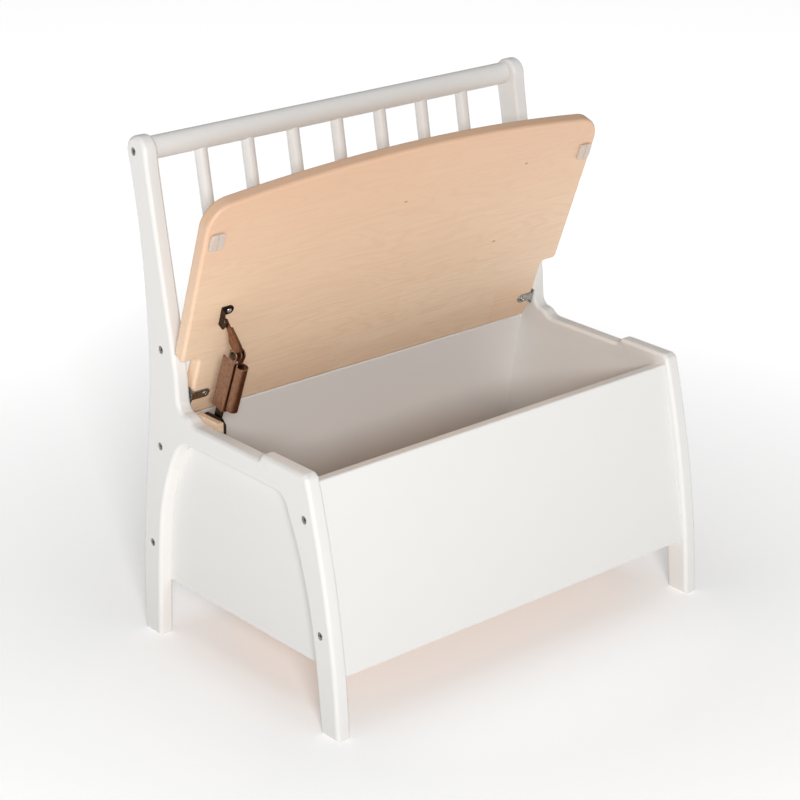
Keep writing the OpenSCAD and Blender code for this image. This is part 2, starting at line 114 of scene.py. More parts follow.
def inset(points, amounts):
    """The closed outline moved inwards, where amounts[i] belongs to the edge from point i to the next."""
    out = []
    for i, b in enumerate(points):
        a, c = points[i - 1], points[(i + 1) % len(points)]
        d0, d1 = (b - a).normalized(), (c - b).normalized()
        n0, n1 = Vector((-d0.y, d0.x)), Vector((-d1.y, d1.x))
        r0, r1 = amounts[i - 1], amounts[i]
        turn = n0.x * n1.y - n0.y * n1.x
        if abs(turn) < 1e-3:
            out.append(b + (n0 + n1).normalized() * (r0 + r1) / 2)
            continue
        s0, s1 = b.dot(n0) + r0, b.dot(n1) + r1
        out.append(Vector(((s0 * n1.y - s1 * n0.y) / turn, (n0.x * s1 - n1.x * s0) / turn)))
    return out


def rounded(corners, radii, steps=6):
    """A polygon whose corners are rounded, each with its own radius."""
    p = [Vector(q) for q in corners]
    if signed_area(p) < 0:
        p, radii = p[::-1], radii[::-1]
    out = []
    for i, b in enumerate(p):
        a, c = p[i - 1], p[(i + 1) % len(p)]
        u, v = (a - b).normalized(), (c - b).normalized()
        half = u.angle(v) / 2
        reach = radii[i] / math.tan(half)
        if radii[i] < 0.01:
            out.append(b)
            continue
        centre = b + (u + v).normalized() * radii[i] / math.sin(half)
        start, end = b + u * reach, b + v * reach
        for k in range(steps + 1):
            way = (start - centre).slerp(end - centre, k / steps)
            out.append(centre + way.normalized() * radii[i])
    return out


# ---- meshes ----

def finish_mesh(bm, name, to_row, body, material, smooth=35):
    """Makes an object from a bmesh in millimetres, places it and lets it ride on a body."""
    bmesh.ops.recalc_face_normals(bm, faces=bm.faces)
    mesh = bpy.data.meshes.new(name)
    bm.to_mesh(mesh)
    bm.free()
    mesh.transform(SCALE)
    for polygon in mesh.polygons:
        polygon.use_smooth = True
    mesh.set_sharp_from_angle(angle=math.radians(smooth))
    obj = bpy.data.objects.new(name, mesh)
    bpy.context.scene.collection.objects.link(obj)
    place = to_row.copy()
    place.translation *= MM
    obj.matrix_world = place
    obj.data.materials.append(material)
    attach(obj, body)
    return obj


def even_normals(obj):
    """Keeps big flat faces flat next to their rounded edges."""
    modifier = obj.modifiers.new("even normals", "WEIGHTED_NORMAL")
    modifier.keep_sharp = True
    modifier.weight = 60


def slab_mesh(outline, low, high, edge=0.5, radii=None, steps=4, to=NO_TURN):
    """A plate from an outline, with rounded rims. radii[i] says how far edge i of the outline is rounded."""
    bm = bmesh.new()
    points = tidy(outline) if radii is None else list(outline)
    radii = radii or [edge] * len(points)
    rings = [(points, 0.0)] if edge == 0 else []
    for k in range(steps + 1 if edge else 0):
        turn = math.pi / 2 * k / steps
        ring = inset(points, [r * (1 - math.sin(turn)) for r in radii])
        rings.append((ring, edge * (1 - math.cos(turn))))
    stack = [(ring, low + depth) for ring, depth in rings]
    stack += [(ring, high - depth) for ring, depth in reversed(rings)]
    made = [[bm.verts.new(to @ Vector((p.x, p.y, c))) for p in ring] for ring, c in stack]
    n = len(points)
    for lower, upper in zip(made, made[1:]):
        for i in range(n):
            j = (i + 1) % n
            bm.faces.new((lower[i], lower[j], upper[j], upper[i]))
    bm.faces.new(made[0][::-1])
    bm.faces.new(made[-1])
    return bm


def turned_mesh(profile, sides=48, to=NO_TURN):
    """A solid of revolution about Z from (radius, height) pairs, closed at both ends."""
    bm = bmesh.new()
    rings = []
    angles = [2 * math.pi * k / sides for k in range(sides)]
    for r, z in profile:
        if r < 1e-6:
            rings.append([bm.verts.new(to @ Vector((0, 0, z)))])
        else:
            rings.append([bm.verts.new(to @ Vector((r * math.cos(a), r * math.sin(a), z))) for a in angles])
    for lower, upper in zip(rings, rings[1:]):
        for i in range(sides):
            j = (i + 1) % sides
            if len(lower) == 1:
                bm.faces.new((lower[0], upper[j], upper[i]))
            elif len(upper) == 1:
                bm.faces.new((lower[i], lower[j], upper[0]))
            else:
                bm.faces.new((lower[i], lower[j], upper[j], upper[i]))
    for ring, flip in ((rings[0], True), (rings[-1], False)):
        if len(ring) > 1:
            bm.faces.new(ring[::-1] if flip else ring)
    return bm


def loose_object(bm):
    bmesh.ops.recalc_face_normals(bm, faces=bm.faces)
    mesh = bpy.data.meshes.new("shape")
    bm.to_mesh(mesh)
    bm.free()
    obj = bpy.data.objects.new("shape", mesh)
    bpy.context.scene.collection.objects.link(obj)
    return obj


def carve(bm, tools, operation="DIFFERENCE"):
    """Takes the tools out of a solid, or adds them to it. All of them are bmeshes in the same millimetres."""
    solid = loose_object(bm)
    cutters = [loose_object(tool) for tool in tools]
    for cutter in cutters:
        modifier = solid.modifiers.new("carve", "BOOLEAN")
        modifier.operation = operation
        modifier.solver = "MANIFOLD"
        modifier.object = cutter
    bpy.context.view_layer.update()
    carved = bpy.data.meshes.new_from_object(solid.evaluated_get(bpy.context.evaluated_depsgraph_get()))
    out = bmesh.new()
    out.from_mesh(carved)
    bpy.data.meshes.remove(carved)
    for obj in [solid] + cutters:
        mesh = obj.data
        bpy.data.objects.remove(obj)
        bpy.data.meshes.remove(mesh)
    return out


def merged(solids):
    """The union of overlapping solids."""
    return carve(solids[0], solids[1:], "UNION")


def gathered(bm, places):
    """Copies of one solid at several places, as one mesh."""
    mesh = bpy.data.meshes.new("copies")
    bm.to_mesh(mesh)
    bm.free()
    out = bmesh.new()
    for place in places:
        before = len(out.verts)
        out.from_mesh(mesh)
        out.verts.ensure_lookup_table()
        bmesh.ops.transform(out, matrix=place, verts=out.verts[before:])
    bpy.data.meshes.remove(mesh)
    return out


# Turns a sketch's plane into the row frame: sketch x, y and height become Y, Z and X
SIDEWAYS = Matrix(((0, 0, 1, 0), (1, 0, 0, 0), (0, 1, 0, 0), (0, 0, 0, 1)))


def along_x(x, y, z):
    """Stands a turned solid on the point and points it along X."""
    return Matrix.Translation((x, y, z)) @ Matrix.Rotation(math.pi / 2, 4, "Y")


def along_y(x, y, z):
    """Stands a turned solid on the point and points it along Y."""
    return Matrix.Translation((x, y, z)) @ Matrix.Rotation(-math.pi / 2, 4, "X")


def rod(place, radius, length):
    """A plain round cutter."""
    return turned_mesh([(radius, 0), (radius, length)], to=place)


def box_mesh(low, high, edge=0.0):
    """A block between two corners, with rounded edges."""
    outline = [(low[0], low[1]), (high[0], low[1]), (high[0], high[1]), (low[0], high[1])]
    return slab_mesh(outline, low[2], high[2], edge)


# ---- materials ----

class Shader:
    """A material being made from nodes."""

    def __init__(self, name):
        self.material = bpy.data.materials.new(name)
        self.material.use_nodes = True
        self.tree = self.material.node_tree
        self.surface = self.tree.nodes["Principled BSDF"]

    def node(self, kind, inputs=(), **settings):
        """Adds a node. inputs gives sockets by name or number, as values or as outputs to link."""
        made = self.tree.nodes.new(kind)
        for key, value in settings.items():
            setattr(made, key, value)
        for key, value in dict(inputs).items():
            self.put(made.inputs[key], value)
        return made

    def put(self, socket, value):
        if isinstance(value, bpy.types.NodeSocket):
            self.tree.links.new(value, socket)
        else:
            socket.default_value = value

    def math(self, operation, a, b=0.0, c=0.0):
        return self.node("ShaderNodeMath", {0: a, 1: b, 2: c}, operation=operation).outputs[0]

    def place(self, scale=(1, 1, 1), shift=None):
        """The piece's own coordinates in metres, stretched and shifted."""
        start = self.node("ShaderNodeTexCoord").outputs["Object"]
        if shift is not None:
            start = self.node("ShaderNodeVectorMath", {0: start, 1: shift}, operation="ADD").outputs[0]
        return self.node("ShaderNodeMapping", {"Vector": start, "Scale": scale}).outputs[0]

    def noise(self, vector, scale, detail=3.0, rough=0.5, distort=0.0):
        made = self.node("ShaderNodeTexNoise", {"Vector": vector, "Scale": scale, "Detail": detail,
                                                "Roughness": rough, "Distortion": distort})
        return made.outputs["Fac"]

    def ramp(self, value, low, high, to_low=0.0, to_high=1.0):
        made = self.node("ShaderNodeMapRange", {0: value, 1: low, 2: high, 3: to_low, 4: to_high})
        return made.outputs[0]

    def mix(self, share, a, b):
        """Mixes two colours: 0 gives a and 1 gives b."""
        return self.node("ShaderNodeMix", {0: share, 6: a, 7: b}, data_type="RGBA").outputs[2]

    def bump(self, height, strength, distance):
        made = self.node("ShaderNodeBump", {"Height": height, "Strength": strength, "Distance": distance})
        return made.outputs["Normal"]

    def edges(self, width, low=0.02, high=0.25):
        """0 on flat faces and 1 along edges that stand within the given width."""
        soft = self.node("ShaderNodeBevel", {"Radius": width}, samples=4).outputs[0]
        flat = self.node("ShaderNodeNewGeometry").outputs["True Normal"]
        same = self.node("ShaderNodeVectorMath", {0: soft, 1: flat}, operation="DOT_PRODUCT").outputs["Value"]
        return self.ramp(self.math("SUBTRACT", 1.0, same), low, high)

    def look(self, **inputs):
        """Sets the surface's own sockets, whose names have spaces where the keys have underscores."""
        for key, value in inputs.items():
            self.put(self.surface.inputs[key.replace("_", " ")], value)
        return self.material


def colour(r, g, b):
    """An sRGB colour from 0 to 255 as the linear one that sockets take."""
    def linear(c):
        c /= 255
        return c / 12.92 if c <= 0.04045 else ((c + 0.055) / 1.055) ** 2.4
    return (linear(r), linear(g), linear(b), 1.0)


def make_lacquer(name, tone, stipple=0.35):
    """Off-white satin lacquer with a faint orange peel over the wood."""
    s = Shader(name)
    cloudy = s.noise(s.place(), 9.0, 3.0)
    base = s.mix(cloudy, colour(*[c - 2 for c in tone]), colour(*tone))
    peel = s.noise(s.place(), 900.0, 2.0)
    fibre = s.noise(s.place((40, 260, 260)), 6.0, 4.0)
    height = s.math("ADD", s.math("MULTIPLY", peel, 0.6), s.math("MULTIPLY", fibre, 0.4))
    return s.look(Base_Color=base, Roughness=s.ramp(cloudy, 0.3, 0.7, 0.38, 0.46), Specular_IOR_Level=0.45,
                  Coat_Weight=0.12, Coat_Roughness=0.28, Normal=s.bump(height, stipple, 0.00012))


# Where blocks of wood meet end to end in each of the lid's staves, in X, from the pivots to the front edge
STAVE_JOINTS = [[-66, 205], [30], [-280, 150], [-243, 95], [210], [-10]]
STAVE_W = 55
# The rear edge of the first stave, measured like the knots
FIRST_STAVE = -28
# Sets the staves' shades and figures apart from each other
STAVE_STEP = 3.7
# Small dark knots, as (X, distance from the pivot)
KNOTS = [(172, 116), (190, 229), (-5, 216)]
KNOT_W, KNOT_L = 1.1, 2.6


def make_beech(name, staves=True):
    """Clear-lacquered beech in finger-jointed staves that run along X."""
    s = Shader(name)
    split = s.node("ShaderNodeSeparateXYZ", {0: s.node("ShaderNodeTexCoord").outputs["Object"]})
    x = s.math("MULTIPLY", split.outputs["X"], 1 / MM)
    u = s.math("MULTIPLY", split.outputs["Y"], -1 / MM)
    row = s.math("FLOOR", s.math("DIVIDE", s.math("SUBTRACT", u, FIRST_STAVE), STAVE_W))
    block = s.math("MULTIPLY", row, STAVE_STEP)
    if staves:
        for i, ends in enumerate(STAVE_JOINTS):
            here = s.math("COMPARE", row, float(i), 0.5)
            for end in ends:
                past = s.math("GREATER_THAN", x, float(end))
                block = s.math("MULTIPLY_ADD", here, past, block)
    shade = s.node("ShaderNodeTexWhiteNoise", {"W": block}, noise_dimensions="1D")
    apart = {i: s.math("MULTIPLY", block, step) for i, step in enumerate((0.37, 0.11, 0.05))}
    shift = s.node("ShaderNodeCombineXYZ", apart).outputs[0]
    figure = s.noise(s.place((1.6, 14, 14), shift), 2.2, 2.0, 0.45, 0.25)
    rings = s.math("SINE", s.math("MULTIPLY", figure, 95.0))
    streaks = s.noise(s.place((3, 130, 130), shift), 3.0, 5.0, 0.6)
    pores = s.noise(s.place((60, 900, 900), shift), 2.0, 2.0, 0.5)
    flecks = s.ramp(pores, 0.66, 0.74)
    pale, warm = colour(247, 222, 194), colour(243, 213, 182)
    tone = s.mix(shade.outputs["Value"], pale, warm)
    if staves:
        # Painted shade: darker towards the free edge, which stands highest when the lid is open
        tone = s.mix(s.ramp(u, 60.0, 285.0, 0.0, 0.9), tone, colour(220, 180, 150))
    tone = s.mix(s.ramp(streaks, 0.3, 0.75, 0.0, 0.3), tone, colour(222, 182, 148))
    tone = s.mix(s.ramp(rings, -0.2, 1.0, 0.0, 0.13), tone, colour(214, 166, 130))
    tone = s.mix(s.math("MULTIPLY", flecks, 0.2), tone, colour(176, 124, 88))
    if staves:
        # Painted highlight: a pinker tone along the rounded rims
        tone = s.mix(s.math("MULTIPLY", s.edges(0.006, 0.004, 0.2), 0.55), tone, colour(236, 180, 142))
        for knot_x, knot_u in KNOTS:
            along = s.math("DIVIDE", s.math("SUBTRACT", x, float(knot_x)), KNOT_L)
            across = s.math("DIVIDE", s.math("SUBTRACT", u, float(knot_u)), KNOT_W)
            squares = s.math("ADD", s.math("MULTIPLY", along, along), s.math("MULTIPLY", across, across))
            away = s.math("SQRT", squares)
            tone = s.mix(s.ramp(away, 0.5, 1.4, 0.75, 0.0), tone, colour(140, 96, 66))
    height = s.math("SUBTRACT", s.math("MULTIPLY", streaks, 0.5), s.math("MULTIPLY", flecks, 0.6))
    return s.look(Base_Color=tone, Roughness=s.ramp(streaks, 0.2, 0.8, 0.44, 0.56), Coat_Weight=0.15,
                  Coat_Roughness=0.35, Normal=s.bump(height, 0.3, 0.00015))


def make_metal(name, tone, worn_and_highlight_tone, rough=0.35, metallic=1.0, wear_and_highlight_width=0.0006, grime=(20, 14, 10)):
    """Plated steel with darker blotches, brighter along its edges partly from rubbing and partly as a painted
    highlight.
    """
    s = Shader(name)
    blotch = s.noise(s.place(), 260.0, 5.0, 0.6)
    base = s.mix(s.ramp(blotch, 0.35, 0.7, 0.0, 0.55), colour(*tone), colour(*grime))
    # Brighter edges: partly wear, partly a painted highlight
    rub_and_highlight = s.math("MULTIPLY", s.edges(wear_and_highlight_width), s.ramp(blotch, 0.25, 0.6, 1.0, 0.4))
    base = s.mix(rub_and_highlight, base, colour(*worn_and_highlight_tone))
    scratches = s.noise(s.place((300, 4000, 300)), 1.0, 2.0)
    return s.look(Base_Color=base, Metallic=metallic, Normal=s.bump(scratches, 0.15, 0.00005),
                  Roughness=s.ramp(blotch, 0.3, 0.7, rough - 0.06, rough + 0.1))


def make_plastic(name, tone, rough=0.45, through=0.0):
    """Moulded plastic with a fine texture."""
    s = Shader(name)
    grain = s.noise(s.place(), 1500.0, 2.0)
    base = s.mix(grain, colour(*[c - 5 for c in tone]), colour(*tone))
    return s.look(Base_Color=base, Roughness=rough, Transmission_Weight=through, Subsurface_Weight=0.2,
                  Subsurface_Scale=0.002, Normal=s.bump(grain, 0.2, 0.00005))


def make_fibreboard(name, tone):
    """Raw fibreboard: matted short fibres in browns."""
    s = Shader(name)
    fibres = s.noise(s.place(), 700.0, 6.0, 0.7, 1.5)
    blotch = s.noise(s.place(), 25.0, 3.0)
    base = s.mix(s.ramp(fibres, 0.35, 0.65), colour(*[c - 26 for c in tone]), colour(*tone))
    base = s.mix(s.ramp(blotch, 0.3, 0.7, 0.0, 0.3), base, colour(*[c - 14 for c in tone]))
    return s.look(Base_Color=base, Roughness=s.ramp(fibres, 0.3, 0.7, 0.7, 0.85),
                  Normal=s.bump(fibres, 0.4, 0.0002))


LACQUER = make_lacquer("satin lacquer", (236, 234, 231))
SHEET = make_lacquer("lacquered sheet", (237, 235, 232), 0.5)
FIBREBOARD = make_fibreboard("raw fibreboard", (200, 156, 114))
BEECH = make_beech("lid beech")
PLAIN_BEECH = make_beech("turned beech", staves=False)
BLOCK_WOOD = make_beech("bare block", staves=False)
COPPER = make_metal("antique copper", (152, 110, 84), (236, 186, 148), 0.36, wear_and_highlight_width=0.0009,
                    grime=(88, 58, 44))
DARK_STEEL = make_metal("dark steel", (74, 60, 50), (170, 140, 116), 0.4)
BOLT_STEEL = make_metal("bolt steel", (150, 150, 146), (200, 200, 196), 0.45, metallic=0.6,
                        grime=(96, 94, 90))
ZINC = make_metal("zinc", (190, 192, 192), (230, 230, 228), 0.28, grime=(120, 122, 120))
SPRING = make_metal("spring wire", (120, 120, 118), (200, 200, 198), 0.3)
NYLON = make_plastic("nylon", (240, 240, 236))
SOFT = make_plastic("bumper plastic", (240, 224, 210), 0.4, 0.3)

FOR_SLOT = {"lacquer": LACQUER, "lacquer_sheet": SHEET, "fibreboard": FIBREBOARD, "beech": BEECH,
            "beech_plain": PLAIN_BEECH, "block_wood": BLOCK_WOOD, "copper": COPPER, "dark_steel": DARK_STEEL,
            "zinc": ZINC, "spring_steel": SPRING, "nylon": NYLON, "bumper": SOFT}
SLOT_OF = {s["node"]: s["material_slot"] for s in frame["record"]["subparts"]}
for node_name, node_object in frame["nodes"].items():
    node_object.data.materials.clear()
    node_object.data.materials.append(FOR_SLOT[SLOT_OF[node_name]])

# The pins' heads are lacquered over
PINS = make_metal("painted pins", (232, 230, 227), (240, 238, 235), 0.5, metallic=0.0, grime=(222, 219, 215))
frame["nodes"]["side_panel_pins"].data.materials[0] = PINS

SHEET_ROUND = 0.9
for side in ("left", "right"):
    eased = frame["nodes"][side + "_side_panel"].modifiers.new("eased edges", "BEVEL")
    eased.width = SHEET_ROUND * MM
    eased.segments = 3
    eased.angle_limit = math.radians(50)

# ---- side frames ----

FRAME_ROUND = 5
FOOT_ROUND = 3
REAR_JOINT_Y = node_box("right_arm_rail")[1].y
FRONT_JOINT_Y = node_box("right_arm_rail")[0].y
RAIL_Z = 304
NOSE_Z = node_box("right_front_leg")[1].z
ARCH_Z = node_box("right_arm_rail")[0].z
POST_TOP = (171, 614)
POST_TOP_R = 18.5
POST_LEAN = 10.5

arch_rear = curve([(REAR_JOINT_Y, ARCH_Z), (84, 275.5), (98, 270), (109, 259), (121, 236), (132, 207),
                   (140.5, 175), (145.5, 141), (149, 98), (151.5, 50), (153.5, 0)])
post_side = POST_TOP_R * math.cos(math.radians(POST_LEAN))
post_rise = POST_TOP_R * math.sin(math.radians(POST_LEAN))
post_rear = curve([(186, 0), (186.3, 70), (181, 150), (173.5, 218), (166.5, 282), (161.3, 335), (160.8, 385),
                   (164, 450), (171.5, 520), (179.8, 568),
                   (POST_TOP[0] + post_side, POST_TOP[1] - post_rise)])
post_front = curve([(POST_TOP[0] - post_side, POST_TOP[1] + post_rise), (150, 597), (139.7, 540), (126, 468),
                    (113.5, 402), (106.6, 362), (104.3, 336), (102.5, 322), (97, 314.5), (90, 312.8),
                    (84, 310.5), (78, 306), (REAR_JOINT_Y, RAIL_Z)])
leg_inner = curve([(FRONT_JOINT_Y, ARCH_Z), (-88, 273.5), (-95.5, 266.5), (-101, 254), (-108.5, 238),
                   (-116.5, 218), (-126, 190), (-135.3, 156), (-143.5, 114), (-151, 60), (-157.5, 0)])
leg_front = curve([(-189.5, 0), (-187.2, 33), (-182, 86), (-172.3, 151), (-159.8, 214), (-145, 275),
                   (-137.3, 302), (-134.5, 308.5), (-129, NOSE_Z)])
rail_step = curve([(-44, RAIL_Z), (-49, RAIL_Z + 1), (-54, NOSE_Z - 1), (-60, NOSE_Z)])

OUTLINES = {
    "rear_post": arch_rear + post_rear
    + arc(POST_TOP, POST_TOP_R, -POST_LEAN, 180 - POST_LEAN, 28) + post_front,
    "front_leg": leg_front + [Vector((FRONT_JOINT_Y, NOSE_Z))] + leg_inner,
    "arm_rail": [Vector((FRONT_JOINT_Y, ARCH_Z)), Vector((REAR_JOINT_Y, ARCH_Z)),
                 Vector((REAR_JOINT_Y, RAIL_Z))]
    + rail_step + [Vector((FRONT_JOINT_Y, NOSE_Z))],
}


def edge_radii(points):
    """How far each edge of a frame piece is rounded: joint faces stay sharp and feet nearly so."""
    radii = []
    for a, b in zip(points, points[1:] + points[:1]):
        joint = any(abs(a.x - y) < 0.01 and abs(b.x - y) < 0.01 for y in (REAR_JOINT_Y, FRONT_JOINT_Y))
        foot = a.y < 0.01 and b.y < 0.01
        radii.append(0.0 if joint else FOOT_ROUND if foot else FRAME_ROUND)
    return radii


REBATE = 3.05
BOLT_HOLE_R = 5.0
BOLT_HOLE_DEPTH = 7
BUSH_HOLE_R = 5.55
BUSH_HOLE_DEPTH = 11
BOLTS = {"rear_post": [(175.5, 613.5), (134, 383), (141.5, 258), (164, 124)],
         "front_leg": [(-130.5, 258), (-157.5, 124)]}
sheet_low, sheet_high = node_box("right_side_panel")


def sheet_outline():
    """The four corners of a thin side sheet, from its CAD node."""
    mesh = frame["nodes"]["right_side_panel"].data
    corners = [Vector((v.co.y / MM, v.co.z / MM)) for v in mesh.vertices]
    below = [c for c in corners if c.y < sheet_low.z + 0.5]
    above = [c for c in corners if c.y > sheet_high.z - 0.5]
    return [min(below, key=lambda c: c.x), max(below, key=lambda c: c.x),
            max(above, key=lambda c: c.x), min(above, key=lambda c: c.x)]


def make_frame_piece(side, kind):
    name = ("left" if side < 0 else "right") + "_" + kind
    outline = tidy(OUTLINES[kind])
    mirror = Matrix.Scale(side, 4, (1, 0, 0))
    bm = slab_mesh(outline, INNER_X, OUTER_X, FRAME_ROUND, edge_radii(outline), 6, to=mirror @ SIDEWAYS)
    tools = [slab_mesh(sheet_outline(), INNER_X - 1, INNER_X + REBATE, 0, to=mirror @ SIDEWAYS)]
    for y, z in BOLTS.get(kind, []):
        tools.append(rod(mirror @ along_x(OUTER_X - BOLT_HOLE_DEPTH, y, z), BOLT_HOLE_R, 2 * BOLT_HOLE_DEPTH))
    if kind == "rear_post":
        tools.append(rod(mirror @ along_x(INNER_X - 1, PIVOT.y, PIVOT.z), BUSH_HOLE_R, BUSH_HOLE_DEPTH + 1))
    piece = finish_mesh(carve(bm, tools), "seen_" + name, NO_TURN, "bench", LACQUER)
    even_normals(piece)
    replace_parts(piece, name)


for side in (-1, 1):
    for kind in OUTLINES:
        make_frame_piece(side, kind)

# ---- lid ----

# The lid is drawn closed, with the pivot at the origin: U is the distance from the pivot towards the front
LID_FRONT_HALF_W = node_box("lid_board")[1].x
LID_HALF_W = 302.5
LID_UNDER = -12
LID_T = 18
LID_REACH = 292
LID_TAIL = 26
NOTCH_U = 58
TAIL_HALF_W = 277
CORNER_R, BOW_R, NOTCH_R, TAIL_R = 34, 2300, 6, 13
LID_ROUND = 4
bow_c = Vector((0, LID_REACH - BOW_R))
corner_x = LID_FRONT_HALF_W - CORNER_R
corner_c = Vector((corner_x, bow_c.y + math.sqrt((BOW_R - CORNER_R) ** 2 - corner_x ** 2)))
corner_turn = math.degrees(math.atan2(corner_c.y - bow_c.y, corner_c.x))
half_lid = (arc((TAIL_HALF_W - TAIL_R, TAIL_R - LID_TAIL), TAIL_R, -90, 0)
            + arc((TAIL_HALF_W + NOTCH_R, NOTCH_U - NOTCH_R), NOTCH_R, 180, 90)
            + arc((LID_HALF_W - NOTCH_R, NOTCH_U + NOTCH_R), NOTCH_R, -90, 0)
            + arc(corner_c, CORNER_R, 0, corner_turn, 16)
            + arc(bow_c, BOW_R, corner_turn, 90, 24))
lid_outline = half_lid + [Vector((-p.x, p.y)) for p in half_lid[::-1]]
# Sketch x and y become X and the lid's own -Y, so that the lid's front lies at -Y when it is closed
FLAT = Matrix(((1, 0, 0, 0), (0, -1, 0, 0), (0, 0, 1, 0), (0, 0, 0, 1)))
lid = finish_mesh(slab_mesh(lid_outline, LID_UNDER, LID_UNDER + LID_T, LID_ROUND, steps=7, to=FLAT),
                  "seen_lid", ON_LID, "lid", BEECH)
even_normals(lid)
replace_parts(lid, "lid_board")

# ---- chest ----

FRONT_SLOPE = 0.21
BACK_SLOPE = 0.17
PANEL_T = 18
NUT_R = 5.05
NUT_DEPTH = 34
NUT_HOLE_L = 40
GROOVE_SLACK = Vector((1, 0.05, 0.05))
front_low, front_high = node_box("front_panel")
back_low, back_high = node_box("back_panel")
floor_low, floor_high = node_box("bottom_panel")
front_through = Vector((1, -FRONT_SLOPE)).normalized() * PANEL_T
back_through = Vector((1, BACK_SLOPE)).normalized() * PANEL_T


def nut_holes(centres, before):
    """Cutters for the barrel nuts near both ends of a panel or rail. They open towards +Y."""
    return [rod(along_y(side * (INNER_X - NUT_DEPTH), y - before, z), NUT_R, NUT_HOLE_L)
            for side in (-1, 1) for y, z in centres]


def make_panel(name, foot, top, through, radii, nuts, before):
    """A board between the side frames, with its faces square to its lean."""
    outline = rounded([foot, foot + through, top + through, top], radii)
    bm = slab_mesh(outline, -INNER_X, INNER_X, 0.3, steps=2, to=SIDEWAYS)
    groove = box_mesh(floor_low - GROOVE_SLACK, floor_high + GROOVE_SLACK)
    bm = carve(bm, [groove] + nut_holes(nuts, before))
    piece = finish_mesh(bm, "seen_" + name, NO_TURN, "bench", LACQUER)
    even_normals(piece)
    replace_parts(piece, name)


make_panel("front_panel", Vector((front_low.y, front_low.z - front_through.y)),
           Vector((front_high.y - front_through.x, front_high.z)), front_through,
           [1.2, 1.2, 2, 2], BOLTS["front_leg"], 7)
make_panel("back_panel", Vector((back_high.y - back_through.x, back_low.z)),
           Vector((back_low.y, back_high.z - back_through.y)), back_through,
           [1.2, 1.2, 2, 2], BOLTS["rear_post"][2:], 5)
bottom = finish_mesh(box_mesh(floor_low, floor_high, 0.5), "seen_bottom_panel", NO_TURN, "bench",
                     FIBREBOARD)
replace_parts(bottom, "bottom_panel")

# ---- spindle back ----

RAIL_R = 13.75
RUNG_R = 8
RAILS = {"top_rail": BOLTS["rear_post"][0], "lower_back_rail": BOLTS["rear_post"][1]}
RAIL_END = 0.5
width = 2 * INNER_X
for name, (y, z) in RAILS.items():
    profile = [(0, 0), (RAIL_R - RAIL_END, 0), (RAIL_R, RAIL_END), (RAIL_R, width - RAIL_END),
               (RAIL_R - RAIL_END, width), (0, width)]
    bm = carve(turned_mesh(profile, 96, to=along_x(-INNER_X, y, z)), nut_holes([(y, z)], 5))
    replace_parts(finish_mesh(bm, "seen_" + name, NO_TURN, "bench", LACQUER), name)

rung_foot = Vector((0, *RAILS["lower_back_rail"]))
rung_way = Vector((0, *RAILS["top_rail"])) - rung_foot
RUNG_BITE = 3
RUNG_COUNT = 7
for i in range(1, RUNG_COUNT + 1):
    name = "rung_%d" % i
    low, high = node_box(name)
    centre = Vector(((low.x + high.x) / 2, 0, 0)) + rung_foot
    place = Matrix.Translation(centre) @ rung_way.to_track_quat("Z", "Y").to_matrix().to_4x4()
    length = rung_way.length - RUNG_BITE
    profile = [(0, RUNG_BITE), (RUNG_R - 1, RUNG_BITE), (RUNG_R, RUNG_BITE + 1), (RUNG_R, length - 1),
               (RUNG_R - 1, length), (0, length)]
    rung = finish_mesh(turned_mesh(profile, 64), "seen_" + name, place, "bench", LACQUER)
    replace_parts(rung, name)

# ---- bolts and screws ----

BOLT_R = 3
BOLT_HEAD_R = 4.75
BOLT_HEAD_T = 5
BOLT_L = 56
SOCKET_R = 2.3
bolt_seat = node_box("frame_bolts")[1].x - BOLT_L


def bolt_mesh():
    """A socket-head bolt that points along Z, with its head's face at BOLT_L."""
    neck = BOLT_L - BOLT_HEAD_T
    shank = [(0, 0), (BOLT_R - 0.5, 0), (BOLT_R, 0.5), (BOLT_R, neck)]
    head = [(BOLT_HEAD_R - 0.2, neck), (BOLT_HEAD_R, neck + 0.2), (BOLT_HEAD_R, BOLT_L - 0.5),
            (BOLT_HEAD_R - 0.2, BOLT_L - 0.15), (BOLT_HEAD_R - 0.5, BOLT_L), (0, BOLT_L)]
    socket = turned_mesh([(SOCKET_R, BOLT_L - 3), (SOCKET_R, BOLT_L + 1)], 6)
    mouth = turned_mesh([(SOCKET_R - 0.1, BOLT_L - 0.3), (SOCKET_R + 0.6, BOLT_L + 0.3)], 32)
    return carve(turned_mesh(shank + head, 40), [socket, mouth])


all_bolts = [p for centres in BOLTS.values() for p in centres]
places = [Matrix.Scale(side, 4, (1, 0, 0)) @ along_x(bolt_seat, y, z)
          for side in (-1, 1) for y, z in all_bolts]
bolts = finish_mesh(gathered(bolt_mesh(), places), "seen_frame_bolts", NO_TURN, "bench",
                    BOLT_STEEL)
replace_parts(bolts, "frame_bolts")


def screw_mesh(shank_l, head_r=3.4, head_t=1.2, shank_r=1.75):
    """A pan-head screw with a cross recess. Its head stands up from Z = 0."""
    dome = [(head_r * math.cos(a), head_t * math.sin(a)) for a in [math.pi / 2 * k / 6 for k in range(7)]]
    profile = [(0, -shank_l), (shank_r * 0.5, 1 - shank_l), (shank_r, 3 - shank_l), (shank_r, 0)] + dome[:-1]
    slot = 0.17 * head_r
    arms = []
    for turn in (0, math.pi / 2):
        cross = box_mesh((-0.55 * head_r, -slot, head_t * 0.35), (0.55 * head_r, slot, head_t + 1))
        bmesh.ops.rotate(cross, matrix=Matrix.Rotation(turn + 0.5, 3, "Z"), verts=cross.verts)
        arms.append(cross)
    return carve(turned_mesh(profile + [(0, head_t)], 32), arms)


HEAD_DOWN = Matrix.Rotation(math.pi, 4, "X")
UP_SCREW_L = 10
